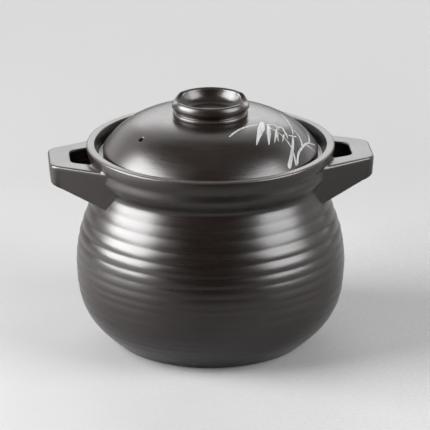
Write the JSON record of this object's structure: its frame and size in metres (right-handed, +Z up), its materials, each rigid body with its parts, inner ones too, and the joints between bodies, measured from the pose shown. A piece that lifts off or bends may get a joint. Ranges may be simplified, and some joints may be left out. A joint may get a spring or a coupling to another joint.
{
  "type": "clay stew pot with lid",
  "caption": "Round-bellied ribbed clay pot with a flared rim, slab ear handles with finger slots, and a sunk domed lid with a cup-shaped knob.",
  "frame": {"origin": "on the pot's axis, in the plane of its foot ring, at the bottom centre of the part's box", "axes": "+Z up along the axis that the pot was thrown on; X through both side handles; the camera side is -Y"},
  "size_m": [0.2748, 0.229, 0.2127],
  "materials": {
    "dark_glaze": "satin dark brown-black glaze",
    "bare_clay": "unglazed fired clay, matte",
    "white_slip": "fired white brushwork"
  },
  "bodies": {
    "pot": {"pot_vessel": "dark_glaze", "handle_left": "dark_glaze", "handle_right": "dark_glaze"},
    "lid": {"lid_dome": "dark_glaze", "lid_knob": "dark_glaze"}
  },
  "joints": [
    {"name": "lid_lift", "type": "slide", "parent": "pot", "child": "lid", "axis": [0, 0, 1], "range_m": [0, 0.08]}
  ]
}
